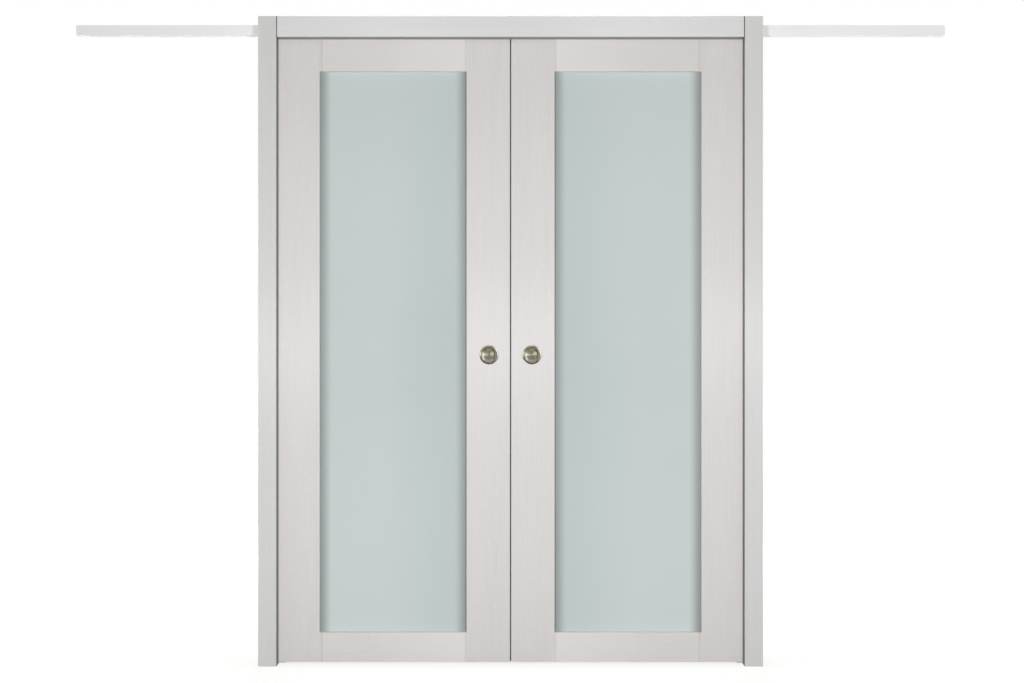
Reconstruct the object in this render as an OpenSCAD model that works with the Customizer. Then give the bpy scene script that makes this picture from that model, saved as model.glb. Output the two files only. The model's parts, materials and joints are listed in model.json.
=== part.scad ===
// Double pocket door: two framed glass leaves that hang from a hidden rail and slide
// sideways into the wall on either side of the doorway.
// Millimetres, +Z up, front at -Y, origin on the floor at the middle of the doorway.

/* [Leaf] */
// Width of one leaf
leaf_w = 762; // [660:1:920]
// Height of one leaf
leaf_h = 2032; // [1900:1:2440]
// Thickness of one leaf
leaf_t = 40; // [38:1:46]
// Width of the upright stiles
stile_w = 142; // [126:1:170]
// Height of the top rail
top_rail_h = 109; // [104:1:160]
// Height of the bottom rail
bottom_rail_h = 96; // [94:1:200]
// How far the joints between stiles and rails lie inside the sight line
joint_setback = 5; // [2:0.5:8]
// Chamfer on the edges of the leaf frame
leaf_chamfer = 1; // [0.5:0.1:1.5]
// Gap between the closed leaves
centre_gap = 3; // [2:0.5:6]
// Gap between a leaf and the floor
floor_gap = 5; // [5:0.5:14]
// Part of a closed leaf that stays behind the jamb
pocket_overlap = 8; // [6:0.5:14]
// Part of a leaf's top that stays behind the head jamb
head_overlap = 6; // [5:0.5:8]
// Part of an open leaf that stays in the doorway, with its pulls
open_reveal = 114; // [108:0.5:200]

/* [Glass] */
// Thickness of the glass
glass_t = 6; // [4:0.5:8]
// Depth of the glass edge inside the frame
glass_bite = 10; // [8:0.5:12]
// Wall of the gasket round the glass edge
gasket_t = 1.5; // [1:0.1:2]
// Distance from the gasket's lip back to the sight line
gasket_setback = 1; // [0.5:0.1:2]
// Free depth behind the gasket in its groove
groove_clear = 0.5; // [0.2:0.1:1]

/* [Joinery] */
// Radius of the frame dowels
dowel_r = 5; // [4:0.5:6]
// Length of the frame dowels
dowel_l = 100; // [60:5:110]
// Distance between the two dowels of a joint
dowel_pitch = 36; // [26:1:40]
// Distance from the leaf's end to its nearest dowel
dowel_inset = 36; // [34:1:38]
// Clearance round dowels and screws
joint_clear = 0.05; // [0.02:0.01:0.1]
// Clearance between a tenon and its groove
tenon_clear = 0.1; // [0.05:0.05:0.3]

/* [Surround] */
// Thickness of the wall that the surround lines
wall_t = 116; // [110:1:140]
// Thickness of the split jambs
jamb_t = 20; // [18:0.5:24]
// Gap between a leaf's face and each split jamb
slot_gap = 6; // [5:0.5:8]
// Thickness of the header board
header_t = 18; // [16:1:24]

/* [Casing] */
// Width of the upright casings
casing_w = 59; // [50:1:100]
// Height of the head casing
head_casing_h = 67; // [62:1:120]
// Thickness of the casings
casing_t = 16; // [12:0.5:22]
// Chamfer on the front edges of the casings
casing_chamfer = 1.5; // [0.5:0.1:3]
// Thickness of the tongue that plugs a casing into a jamb
tongue_t = 5; // [4:0.5:6]
// Length of that tongue
tongue_l = 14; // [10:0.5:15]
// Clearance round that tongue
tongue_clear = 0.2; // [0.1:0.05:0.5]
// Clearance at each end of the head casing
head_joint = 0.3; // [0.1:0.1:0.6]

/* [Brush seals] */
// Distance from a jamb's edge to its brush seal
seal_inset = 1.5; // [1:0.5:2]
// Width of the seal's carrier
seal_carrier_w = 4; // [3:0.1:4.5]
// Depth of the carrier in its kerf
seal_carrier_d = 3; // [2:0.1:4]
// Width of the pile at its root
pile_w = 3; // [2:0.1:3]
// Width of the pile at its tip
pile_tip_w = 2; // [1:0.1:2]
// Clearance round the carrier in its kerf
kerf_clear = 0.2; // [0.1:0.1:0.4]
// Clearance between the pile and a leaf
seal_clear = 0.3; // [0.2:0.1:1]
// Gap between the upright seals and the floor brackets
seal_floor_gap = 0.5; // [0.5:0.5:3]
// How far the meeting seals' carriers lie inside the leaves' edges
meeting_sink = 3; // [1:0.5:4]
// Clearance between the tips of the two meeting seals
meeting_clear = 0.1; // [0.1:0.1:0.6]

/* [Rail] */
// Width of the rail
rail_w = 34; // [33:0.5:40]
// Height of the rail
rail_h = 33; // [33:0.5:40]
// Wall of the rail
rail_wall = 2.5; // [2:0.1:3]
// Width of the slot under the rail
rail_slot = 12; // [10:0.5:13]
// Gap between a leaf's top and the rail
rail_gap = 9; // [8:0.5:16]
// Distance between the rail's fixing holes
rail_hole_pitch = 280; // [200:10:320]
// Radius of the rail's fixing holes
rail_hole_r = 2.25; // [2.1:0.05:3]
// Rail left beyond each end stop
rail_margin = 13; // [5:1:60]
// Length of an end stop
end_stop_l = 30; // [20:1:60]
// Clearance between a stop block and the rail's sides
stop_side_clear = 0.5; // [0.2:0.1:1]
// Height of the stop blocks
stop_h = 18; // [14:1:22]
// Thickness of the rubber buffers
buffer_t = 8; // [5:0.5:12]
// Width of the rubber buffers
buffer_w = 10; // [6:1:14]
// Gap between a buffer and the carriage that meets it
stop_gap = 0.5; // [0.3:0.1:2]

/* [Hangers] */
// Radius of the wheels
wheel_r = 11; // [9:0.5:11.5]
// Width of a wheel
wheel_w = 6.5; // [5:0.5:7]
// Rounding of a wheel's tread edges
tread_edge = 0.6; // [0.3:0.1:1]
// Wall between a wheel's bore and its dished side
hub_wall = 2; // [1.5:0.1:2.5]
// Wall between a wheel's tread and its dished side
tread_wall = 2.5; // [1.5:0.1:3]
// Depth of a wheel's dished sides
wheel_dish = 0.8; // [0.4:0.1:1.2]
// Radius of the axles
axle_r = 2; // [1.5:0.1:2.5]
// Radius of an axle's end heads
axle_head_r = 3; // [2.8:0.1:4]
// Thickness of an axle's end heads
axle_head_t = 0.6; // [0.4:0.1:0.8]
// Running clearance of a wheel on its axle
wheel_bore_clear = 0.05; // [0.02:0.01:0.1]
// Gap between a wheel and the rail it rolls on
wheel_gap = 0.3; // [0.2:0.1:0.5]
// Gap between a wheel's face and the carriage
wheel_side_gap = 0.6; // [0.4:0.1:0.8]
// Gap between a wheel's face and its axle's head
wheel_end_gap = 0.3; // [0.2:0.1:0.5]
// Length of a carriage
carriage_l = 62; // [58:1:72]
// Width of a carriage
carriage_w = 11; // [10:0.5:12]
// Height of a carriage
carriage_h = 15.5; // [12:0.5:16]
// Bevel at a carriage's nose
carriage_nose = 3; // [1:0.5:5]
// Distance between a carriage's two axles
axle_pitch = 40; // [38:1:46]
// Radius of the suspension bolt
bolt_r = 4; // [3:0.5:4.5]
// Width across the flats of the bolt head and lock nut
bolt_flats = 13; // [12:0.5:15]
// Height of the bolt's head
bolt_head_h = 4.5; // [3:0.5:5]
// Height of the lock nut
nut_h = 6.5; // [4:0.5:7]
// Clearance round the bolt
bolt_clear = 0.05; // [0.02:0.01:0.1]
// How far the bolt's tip stays short of the boss's end
bolt_tip_gap = 1; // [0.5:0.5:4]
// Length of a hanger plate
plate_l = 70; // [66:1:90]
// Width of a hanger plate
plate_w = 22; // [20:1:26]
// Thickness of a hanger plate
plate_t = 3; // [2:0.5:4]
// Radius of the threaded boss under a hanger plate
boss_r = 8; // [6:0.5:9]
// Depth of that boss
boss_h = 9; // [6:0.5:12]
// Free depth under the boss, for the bolt's adjustment
boss_clear = 5; // [2:0.5:8]
// Distance between a hanger plate's screws
plate_screw_pitch = 52; // [44:1:56]
// Clearance round a hanger plate in its recess
plate_clear = 0.2; // [0.1:0.05:0.5]

/* [Floor guide] */
// Width of the groove under a leaf
guide_groove_w = 8; // [7:0.5:10]
// Depth of that groove
guide_groove_d = 16; // [14:0.5:18]
// Thickness of the guide's fin
fin_t = 6; // [4:0.5:6.5]
// Reach of the fin into the groove
fin_reach = 11; // [6:0.5:13]
// Length of the guide
guide_l = 20; // [20:1:40]
// Width of the guide's foot
guide_foot_w = 20; // [16:1:36]
// Height of the guide's foot
guide_foot_h = 1.5; // [1:0.1:2]
// Distance from the jamb's face to the guide, below 0 if it reaches in behind the jambs
guide_inset = -4; // [-5:0.5:10]
// Radius of the two pegs under the guide
peg_r = 2.5; // [2:0.1:3]
// Distance between those pegs
peg_pitch = 12; // [10:1:14]
// Gap between the pegs' ends and the floor
peg_floor_gap = 0.2; // [0.1:0.1:0.5]
// Thickness of the floor bracket
bracket_t = 1.5; // [1.5:0.1:2]
// Part of the bracket that stands out in front of the guide
bracket_lip = 2; // [1:0.5:6]
// Part of the bracket that lies behind the jambs
bracket_tail = 30; // [24:1:50]
// Height of the bracket's ears
ear_h = 45; // [38:1:60]
// Clearance between an ear and the seal and the jamb's edge beside it
ear_margin = 1; // [0.5:0.5:2]
// Height of the bracket's jamb screws
bracket_screw_z = 28; // [18:1:32]
// Distance between the bracket's floor holes
anchor_pitch = 28; // [20:1:34]
// Radius of the bracket's floor holes
anchor_r = 2.5; // [2:0.1:3]

/* [Pulls] */
// Height of the pulls above the floor
pull_z = 1005; // [850:1:1150]
// Distance from a leaf's meeting edge to the middle of its pulls
pull_backset = 68.5; // [60:0.5:75]
// Diameter of a pull's rim
pull_d = 62; // [58:1:66]
// Height of the rim above the leaf's face
rim_h = 1.8; // [1:0.1:2.5]
// Diameter of the dish's mouth
dish_d = 50; // [44:1:52]
// Depth of the dish
dish_depth = 8.5; // [7:0.5:10]
// Wall of the dish
pull_wall = 1.5; // [1:0.1:2]
// Wall between the dish's mouth and the outside of its cup
mouth_wall = 1; // [0.8:0.1:1.5]
// Clearance round a pull in its bore
pull_clear = 0.2; // [0.1:0.05:0.4]

/* [Screws] */
// Radius of the frame screws
screw_r = 2.5; // [2:0.1:2.5]
// Radius of the small fixing screws
small_screw_r = 2; // [1.5:0.1:2]
// Radius of the pan heads
pan_r = 3.75; // [3:0.05:4]
// Height of the pan heads
pan_h = 2.2; // [1.5:0.1:2.5]
// Taper of the pan heads
pan_taper = 0.8; // [0.4:0.1:1]
// Distance from a jamb's slot face to the header's screws
header_screw_inset = 11; // [9:0.5:12]
// Length of the screws from the header into the jambs
jamb_screw_l = 60; // [40:5:80]
// Length of the screws from the header into the head jambs
head_screw_l = 45; // [40:1:48]
// Distance between those screws
head_screw_pitch = 440; // [300:20:440]
// Length of the rail's screws
rail_screw_l = 17; // [12:1:18]
// Length of the hanger plates' screws
plate_screw_l = 22; // [16:1:24]
// Length of the floor bracket's screws
bracket_screw_l = 15; // [10:1:16]
// Depth of the screws' cross recess
recess_d = 1.2; // [0.8:0.1:1.6]

/* [Hidden] */
$fn = 48;
// Overshoot of a cut past the face it starts from
over = 1;
// Overlap that fuses two shapes of one solid
fuse = 0.01;

// Leaf: everything is drawn for the right leaf and mirrored for the left one
leaf_x0 = centre_gap / 2;
leaf_x1 = leaf_x0 + leaf_w;
leaf_z0 = floor_gap;
leaf_z1 = leaf_z0 + leaf_h;
leaf_face = leaf_t / 2;
sight_x0 = leaf_x0 + stile_w;
sight_x1 = leaf_x1 - stile_w;
sight_z0 = leaf_z0 + bottom_rail_h;
sight_z1 = leaf_z1 - top_rail_h;
joint_x0 = sight_x0 + joint_setback;
joint_x1 = sight_x1 - joint_setback;
groove_w = glass_t + 2 * gasket_t;
groove_d = glass_bite + gasket_t + groove_clear;

// Surround
opening_half = leaf_x1 - pocket_overlap;
head_z = leaf_z1 - head_overlap;
slot_half = leaf_face + slot_gap;
wall_half = wall_t / 2;
jamb_x1 = opening_half + jamb_t;
jamb_mid = opening_half + jamb_t / 2;
casing_top = head_z + head_casing_h;
travel = opening_half - open_reveal - leaf_x0;

// Rail and hangers
rail_z0 = leaf_z1 + rail_gap;
rail_z1 = rail_z0 + rail_h;
header_z1 = rail_z1 + header_t;
ledge_z = rail_z0 + rail_wall;
axle_z = ledge_z + wheel_gap + wheel_r;
hanger_xs = [leaf_x0 + stile_w / 2, leaf_x1 - stile_w / 2];
centre_stop_half = hanger_xs[0] - carriage_l / 2 - stop_gap - buffer_t;
end_stop_x = hanger_xs[1] + carriage_l / 2 + travel + stop_gap + buffer_t;
rail_half = end_stop_x + end_stop_l + rail_margin;
wheel_y = carriage_w / 2 + wheel_side_gap + wheel_w / 2;
axle_half = wheel_y + wheel_w / 2 + wheel_end_gap + axle_head_t;
carriage_z0 = axle_z - carriage_h / 2;
carriage_z1 = axle_z + carriage_h / 2;
rail_hole_xs = [for (x = [rail_hole_pitch / 2 : rail_hole_pitch : end_stop_x - rail_hole_r]) x];
rail_screw_xs = [for (x = rail_hole_xs) if (x < opening_half) x];

// Header screws of the right front quarter, each as [x, length]
head_screw_xs = [for (x = [head_screw_pitch / 2 : head_screw_pitch : opening_half - jamb_t]) x];
header_screws = concat([[jamb_mid, jamb_screw_l]], [for (x = head_screw_xs) [x, head_screw_l]]);
header_screw_y = slot_half + header_screw_inset;

// Floor guide
guide_x1 = opening_half - guide_inset;
guide_x0 = guide_x1 - guide_l;
bracket_x0 = guide_x0 - bracket_lip;
bracket_x1 = jamb_x1 + bracket_tail;
ear_x0 = opening_half + seal_inset + seal_carrier_w + kerf_clear + ear_margin;
ear_x1 = jamb_x1 - ear_margin;
anchor_x = jamb_x1 + bracket_tail / 2;
peg_xs = [for (s = [-1, 1]) (guide_x0 + guide_x1) / 2 + s * peg_pitch / 2];

// Pulls
pull_x = leaf_x0 + pull_backset;
cup_r = dish_d / 2 + mouth_wall;
cup_depth = dish_depth + pull_wall;
rim_w = (pull_d - dish_d) / 2;
rim_arc_r = (pow(rim_w / 2, 2) + pow(rim_h, 2)) / (2 * rim_h);

leaf_finish = [0.83, 0.82, 0.80];
casing_finish = [0.84, 0.83, 0.83];
bare_wood = [0.78, 0.66, 0.50];
zinc = [0.70, 0.71, 0.72];
dark_rubber = [0.20, 0.20, 0.20];

// Helpers

// Moves its children from the right half to the left one for side -1
module on_side(side) {
    mirror([side < 0 ? 1 : 0, 0, 0]) children();
}

// Moves its children from the front to the back for face 1
module on_face(face) {
    mirror([0, face > 0 ? 1 : 0, 0]) children();
}

// Repeats its children in all four quarters
module in_quarters() {
    for (side = [-1, 1], face = [-1, 1])
        on_side(side) on_face(face) children();
}

// Extrudes an outline drawn as [y, z] along X, from x = 0
module along_x(length) {
    rotate([90, 0, 90]) linear_extrude(length) children();
}

// Rod along X, centred
module rod_x(length, r) {
    rotate([0, 90, 0]) cylinder(h = length, r = r, center = true);
}

// Rod along Y, centred
module rod_y(length, r) {
    rotate([90, 0, 0]) cylinder(h = length, r = r, center = true);
}

// Box that is centred on y = 0
module mid_box(x0, x1, width, z0, z1) {
    translate([x0, -width / 2, z0]) cube([x1 - x0, width, z1 - z0]);
}

module cross_recess(span) {
    for (turn = [0, 90])
        rotate(turn) cube([span, span / 4, 2 * recess_d], center = true);
}

// Countersunk screw that points down, with the top of its head at z = 0
module countersunk_screw(length, r) {
    difference() {
        union() {
            translate([0, 0, -length]) cylinder(h = length, r = r);
            translate([0, 0, -r]) cylinder(h = r, r1 = r, r2 = 2 * r);
        }
        cross_recess(2 * r);
    }
}

// What a countersunk screw needs cut away
module countersunk_hole(length, r) {
    hole_r = r + joint_clear;
    translate([0, 0, -length - joint_clear]) cylinder(h = length + over, r = hole_r);
    translate([0, 0, -r]) cylinder(h = r + joint_clear, r1 = hole_r, r2 = hole_r + r + joint_clear);
}

// Pan-head screw that points up, with the underside of its head at z = 0
module pan_screw(length, r) {
    difference() {
        union() {
            cylinder(h = length, r = r);
            translate([0, 0, -pan_h]) cylinder(h = pan_h, r1 = pan_r - pan_taper, r2 = pan_r);
        }
        translate([0, 0, -pan_h]) cross_recess(pan_r);
    }
}

// Frame of a leaf

// Section of a stile as [x, y], with its outer edge at x = 0 and the glass groove at x = w
module stile_outline(w) {
    t = leaf_face;
    c = leaf_chamfer;
    g = groove_w / 2;
    bottom = stile_w - groove_d;
    polygon([
        [c, -t], [w - c, -t], [w, -t + c], [w, -g], [bottom, -g], [bottom, g], [w, g],
        [w, t - c], [w - c, t], [c, t], [0, t - c], [0, -t + c],
    ]);
}

// Stile with a wider stretch beside each rail
module stile_blank() {
    joint_w = stile_w + joint_setback;
    linear_extrude(leaf_h) stile_outline(stile_w);
    linear_extrude(bottom_rail_h) stile_outline(joint_w);
    translate([0, 0, leaf_h - top_rail_h]) linear_extrude(top_rail_h) stile_outline(joint_w);
}

// Centres of the dowels, as [x, z]
dowel_places = [
    for (x = [joint_x0, joint_x1], i = [0, 1], z = [
        leaf_z0 + dowel_inset + i * dowel_pitch,
        leaf_z1 - dowel_inset - i * dowel_pitch,
    ]) [x, z]
];

module dowel_bores() {
    for (p = dowel_places)
        translate([p[0], 0, p[1]]) rod_x(dowel_l + 2 * over, dowel_r + joint_clear);
}

module guide_groove() {
    mid_box(leaf_x0 - over, leaf_x1 + over, guide_groove_w, leaf_z0 - over, leaf_z0 + guide_groove_d);
}

// Recess for a hanger plate, its boss, its bolt's tip and its screws, in a stile's top end
module hanger_recess(x) {
    half = plate_l / 2 + plate_clear;
    depth = plate_t + boss_h + boss_clear;
    mid_box(x - half, x + half, plate_w + 2 * plate_clear, leaf_z1 - plate_t, leaf_z1 + over);
    translate([x, 0, leaf_z1 - depth]) cylinder(h = depth + over, r = boss_r + plate_clear);
    at_plate_screws(x) countersunk_hole(plate_screw_l, small_screw_r);
}

module at_plate_screws(x) {
    for (s = [-1, 1])
        translate([x + s * plate_screw_pitch / 2, 0, leaf_z1]) children();
}

// Kerf for a meeting seal, along the leaf's meeting edge
module meeting_kerf() {
    bottom = leaf_x0 + meeting_sink + seal_carrier_d;
    width = seal_carrier_w + 2 * kerf_clear;
    mid_box(leaf_x0 - over, bottom, width, leaf_z0 - over, leaf_z1 + over);
}

// Places a pull's axis, with z = 0 on the leaf's face and +z out of it
module at_pull(face) {
    on_face(face) translate([pull_x, -leaf_face, pull_z]) rotate([90, 0, 0]) children();
}

module leading_stile() {
    color(leaf_finish) difference() {
        translate([leaf_x0, 0, leaf_z0]) stile_blank();
        dowel_bores();
        guide_groove();
        meeting_kerf();
        hanger_recess(hanger_xs[0]);
        for (face = [-1, 1])
            at_pull(face) translate([0, 0, -cup_depth - pull_clear])
                cylinder(h = cup_depth + pull_clear + over, r = cup_r + pull_clear);
    }
}

module trailing_stile() {
    color(leaf_finish) difference() {
        translate([leaf_x1, 0, leaf_z0]) mirror([1, 0, 0]) stile_blank();
        dowel_bores();
        guide_groove();
        hanger_recess(hanger_xs[1]);
    }
}

// Section of a rail as [y, z], with the leaf's end at z = 0 and the glass groove at the top
module rail_section(height) {
    t = leaf_face;
    c = leaf_chamfer;
    g = groove_w / 2;
    polygon([
        [-t, 0], [t, 0], [t, height - c], [t - c, height],
        [g, height], [g, height - groove_d], [-g, height - groove_d], [-g, height],
        [-t + c, height], [-t, height - c],
    ]);
}

// Plan of a rail, with chamfered ends that leave a fine V at each joint
module rail_plan(length) {
    t = leaf_face;
    c = leaf_chamfer;
    polygon([
        [0, -t + c], [c, -t], [length - c, -t], [length, -t + c],
        [length, t - c], [length - c, t], [c, t], [0, t - c],
    ]);
}

// Rail with a stub tenon at each end that starts tenon_z above the leaf's end
module rail_blank(height, tenon_z) {
    length = joint_x1 - joint_x0;
    reach = joint_setback + groove_d - groove_clear;
    tenon_w = groove_w - 2 * tenon_clear;
    tenon_top = height - groove_d;
    intersection() {
        along_x(length) rail_section(height);
        linear_extrude(height) rail_plan(length);
    }
    mid_box(-reach, fuse, tenon_w, tenon_z, tenon_top);
    mid_box(length - fuse, length + reach, tenon_w, tenon_z, tenon_top);
}

module top_rail() {
    color(leaf_finish) difference() {
        translate([joint_x0, 0, leaf_z1]) mirror([0, 0, 1]) rail_blank(top_rail_h, 0);
        dowel_bores();
    }
}

module bottom_rail() {
    color(leaf_finish) difference() {
        translate([joint_x0, 0, leaf_z0]) rail_blank(bottom_rail_h, guide_groove_d);
        dowel_bores();
        guide_groove();
    }
}

// Carrier at the bottom of its kerf, with pile that reaches the other leaf's seal
module meeting_seal() {
    root = leaf_x0 + meeting_sink;
    tip = meeting_clear / 2;
    color(dark_rubber) translate([0, 0, leaf_z0]) linear_extrude(leaf_h) {
        translate([root, -seal_carrier_w / 2]) square([seal_carrier_d, seal_carrier_w]);
        polygon([
            [root + fuse, -pile_w / 2], [root + fuse, pile_w / 2],
            [tip, pile_tip_w / 2], [tip, -pile_tip_w / 2],
        ]);
    }
}

module dowels() {
    color(bare_wood) for (p = dowel_places)
        translate([p[0], 0, p[1]]) rod_x(dowel_l, dowel_r);
}

// Glass

// Box round the sight opening, grown by reach on all four sides
module pane(reach, thickness) {
    mid_box(sight_x0 - reach, sight_x1 + reach, thickness, sight_z0 - reach, sight_z1 + reach);
}

module glass() {
    color([0.75, 0.80, 0.79]) pane(glass_bite, glass_t);
}

module glazing_gasket() {
    color([0.85, 0.87, 0.87]) difference() {
        pane(glass_bite + gasket_t, groove_w);
        pane(glass_bite, glass_t);
        pane(gasket_setback, groove_w + 2 * over);
    }
}

// Pulls

// Section of a pull as [radius, height above the leaf's face]
module pull_section() {
    mouth_r = dish_d / 2;
    floor_r = mouth_r - dish_depth;
    difference() {
        union() {
            translate([0, -cup_depth]) square([cup_r, cup_depth]);
            intersection() {
                translate([mouth_r + rim_w / 2, rim_h - rim_arc_r]) circle(rim_arc_r);
                translate([mouth_r, 0]) square([rim_w, rim_h + over]);
            }
        }
        translate([0, -dish_depth]) square([floor_r, dish_depth + over]);
        intersection() {
            translate([floor_r, 0]) circle(dish_depth);
            translate([0, -dish_depth]) square([mouth_r, dish_depth]);
        }
    }
}

module pull(face) {
    color([0.70, 0.68, 0.62]) at_pull(face) rotate_extrude($fn = 96) pull_section();
}

// Hangers

module hanger_plates() {
    color(zinc) for (x = hanger_xs) difference() {
        union() {
            mid_box(x - plate_l / 2, x + plate_l / 2, plate_w, leaf_z1 - plate_t, leaf_z1);
            translate([x, 0, leaf_z1 - plate_t - boss_h]) cylinder(h = boss_h + fuse, r = boss_r);
        }
        translate([x, 0, leaf_z1 - plate_t - boss_h - over])
            cylinder(h = plate_t + boss_h + 2 * over, r = bolt_r + bolt_clear);
        at_plate_screws(x) countersunk_hole(plate_screw_l, small_screw_r);
    }
}

module plate_screws() {
    color(zinc) for (x = hanger_xs)
        at_plate_screws(x) countersunk_screw(plate_screw_l, small_screw_r);
}

// Centres of a leaf's four axles, from the meeting edge outwards
axle_xs = [for (x = hanger_xs, s = [-1, 1]) x + s * axle_pitch / 2];

module carriage_outline() {
    l = carriage_l / 2;
    h = carriage_h / 2;
    n = carriage_nose;
    polygon([
        [-l + n, -h], [l - n, -h], [l, -h + n], [l, h - n],
        [l - n, h], [-l + n, h], [-l, h - n], [-l, -h + n],
    ]);
}

module carriages() {
    color([0.30, 0.31, 0.33]) for (x = hanger_xs) translate([x, 0, axle_z]) difference() {
        rotate([90, 0, 0]) linear_extrude(carriage_w, center = true) carriage_outline();
        cylinder(h = carriage_h + 2 * over, r = bolt_r + bolt_clear, center = true);
        for (s = [-1, 1])
            translate([s * axle_pitch / 2, 0, 0]) rod_y(carriage_w + 2 * over, axle_r + joint_clear);
    }
}

module axles() {
    color(zinc) for (x = axle_xs) translate([x, 0, axle_z]) {
        rod_y(2 * axle_half, axle_r);
        for (s = [-1, 1])
            translate([0, s * (axle_half - axle_head_t / 2), 0]) rod_y(axle_head_t, axle_head_r);
    }
}

// Section of a wheel as [radius, width], with a rounded tread and dished sides
module wheel_section() {
    half = wheel_w / 2;
    bore = axle_r + wheel_bore_clear;
    hub = axle_r + hub_wall;
    rim = wheel_r - tread_wall;
    d = wheel_dish;
    e = tread_edge;
    polygon([
        [bore, -half], [hub, -half], [hub + d, -half + d], [rim - d, -half + d], [rim, -half],
        [wheel_r - e, -half], [wheel_r, -half + e], [wheel_r, half - e], [wheel_r - e, half],
        [rim, half], [rim - d, half - d], [hub + d, half - d], [hub, half], [bore, half],
    ]);
}

module wheel_pair(i) {
    color([0.88, 0.87, 0.82]) for (s = [-1, 1])
        translate([axle_xs[i], s * wheel_y, axle_z]) rotate([90, 0, 0])
            rotate_extrude() wheel_section();
}

module hexagon(height) {
    cylinder(h = height, r = bolt_flats / 2 / cos(30), $fn = 6);
}

module suspension_bolts() {
    tip = leaf_z1 - plate_t - boss_h + bolt_tip_gap;
    color(zinc) for (x = hanger_xs) {
        translate([x, 0, tip]) cylinder(h = carriage_z1 - tip + fuse, r = bolt_r);
        translate([x, 0, carriage_z1]) hexagon(bolt_head_h);
    }
}

module lock_nuts() {
    color(zinc) for (x = hanger_xs) translate([x, 0, leaf_z1]) difference() {
        hexagon(nut_h);
        translate([0, 0, -over]) cylinder(h = nut_h + 2 * over, r = bolt_r + bolt_clear);
    }
}

// Rail

module rail_outline() {
    w = rail_w / 2;
    s = rail_slot / 2;
    i = w - rail_wall;
    polygon([
        [-w, 0], [-s, 0], [-s, rail_wall], [-i, rail_wall], [-i, rail_h - rail_wall],
        [i, rail_h - rail_wall], [i, rail_wall], [s, rail_wall], [s, 0], [w, 0],
        [w, rail_h], [-w, rail_h],
    ]);
}

module rail() {
    color([0.80, 0.81, 0.82]) difference() {
        translate([-rail_half, 0, rail_z0]) along_x(2 * rail_half) rail_outline();
        for (side = [-1, 1], x = rail_hole_xs)
            translate([side * x, 0, rail_z1 - rail_wall - over])
                cylinder(h = rail_wall + 2 * over, r = rail_hole_r);
    }
}

module stop_block(x0, x1) {
    mid_box(x0, x1, rail_w - 2 * rail_wall - 2 * stop_side_clear, ledge_z, ledge_z + stop_h);
}

module track_stops() {
    color(zinc) {
        stop_block(-centre_stop_half, centre_stop_half);
        for (side = [-1, 1]) on_side(side) stop_block(end_stop_x, end_stop_x + end_stop_l);
    }
}

module stop_buffers() {
    color(dark_rubber) for (side = [-1, 1], x = [centre_stop_half, end_stop_x - buffer_t])
        on_side(side) translate([x + buffer_t / 2, 0, ledge_z + stop_h / 2])
            rod_x(buffer_t, buffer_w / 2);
}

// Surround

// Section of a brush seal as [distance from the jamb's edge, distance out of its slot face]
module seal_section() {
    mid = seal_inset + seal_carrier_w / 2;
    tip = slot_gap - seal_clear;
    translate([seal_inset, -seal_carrier_d]) square([seal_carrier_w, seal_carrier_d]);
    polygon([
        [mid - pile_w / 2, -fuse], [mid + pile_w / 2, -fuse],
        [mid + pile_tip_w / 2, tip], [mid - pile_tip_w / 2, tip],
    ]);
}

// Kerf that takes a seal's carrier, in the same directions
module kerf_section() {
    translate([seal_inset - kerf_clear, -seal_carrier_d])
        square([seal_carrier_w + 2 * kerf_clear, seal_carrier_d + over]);
}

// Runs a section up the right front jamb
module up_the_jamb(z0, z1) {
    translate([opening_half, -slot_half, z0]) linear_extrude(z1 - z0) children();
}

// Runs a section along the front head jamb
module along_the_head(half) {
    translate([half, -slot_half, head_z]) rotate([0, -90, 0]) linear_extrude(2 * half) children();
}

module frame_brush_seals() {
    color(dark_rubber) {
        in_quarters() up_the_jamb(bracket_t + seal_floor_gap, leaf_z1) seal_section();
        for (face = [-1, 1]) on_face(face) along_the_head(opening_half) seal_section();
    }
}

module at_header_screws() {
    in_quarters() for (s = header_screws)
        translate([s[0], -header_screw_y, header_z1]) let($length = s[1]) children();
}

// Places a screw's head flush in the ear at the right back jamb, with its tip to the back
module at_bracket_screw() {
    translate([(ear_x0 + ear_x1) / 2, slot_half - bracket_t, bracket_screw_z])
        rotate([90, 0, 0]) children();
}

module jamb(side, face) {
    groove_half = tongue_t / 2 + tongue_clear;
    color(casing_finish) difference() {
        on_side(side) on_face(face) difference() {
            translate([opening_half, -wall_half, 0]) cube([jamb_t, wall_half - slot_half, rail_z1]);
            translate([jamb_mid - groove_half, -wall_half - over, -over])
                cube([2 * groove_half, tongue_l + tongue_clear + over, rail_z1 + 2 * over]);
            up_the_jamb(-over, rail_z1 + over) kerf_section();
        }
        at_header_screws() countersunk_hole($length, screw_r);
        on_side(side) on_face(-face) at_bracket_screw()
            countersunk_hole(bracket_screw_l, small_screw_r);
    }
}

module head_jamb(face) {
    groove_half = tongue_t / 2 + tongue_clear;
    half = opening_half;
    color(casing_finish) difference() {
        on_face(face) difference() {
            translate([-half, -wall_half, head_z])
                cube([2 * half, wall_half - slot_half, rail_z1 - head_z]);
            translate([-half - over, -wall_half - over, head_z + jamb_t / 2 - groove_half])
                cube([2 * half + 2 * over, tongue_l + tongue_clear + over, 2 * groove_half]);
            along_the_head(half + over) kerf_section();
        }
        at_header_screws() countersunk_hole($length, screw_r);
    }
}

module header_board() {
    color(bare_wood) difference() {
        mid_box(-jamb_x1, jamb_x1, wall_t, rail_z1, header_z1);
        at_header_screws() countersunk_hole($length, screw_r);
        for (side = [-1, 1], x = rail_screw_xs)
            translate([side * x, 0, rail_z1 - over])
                cylinder(h = rail_screw_l - rail_wall + over, r = small_screw_r + joint_clear);
    }
}

// Outline of a casing board, with its back on y = 0 and its front at -y
module casing_outline(width) {
    c = casing_chamfer;
    t = casing_t;
    polygon([[0, 0], [width, 0], [width, -t + c], [width - c, -t], [c, -t], [0, -t + c]]);
}

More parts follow.
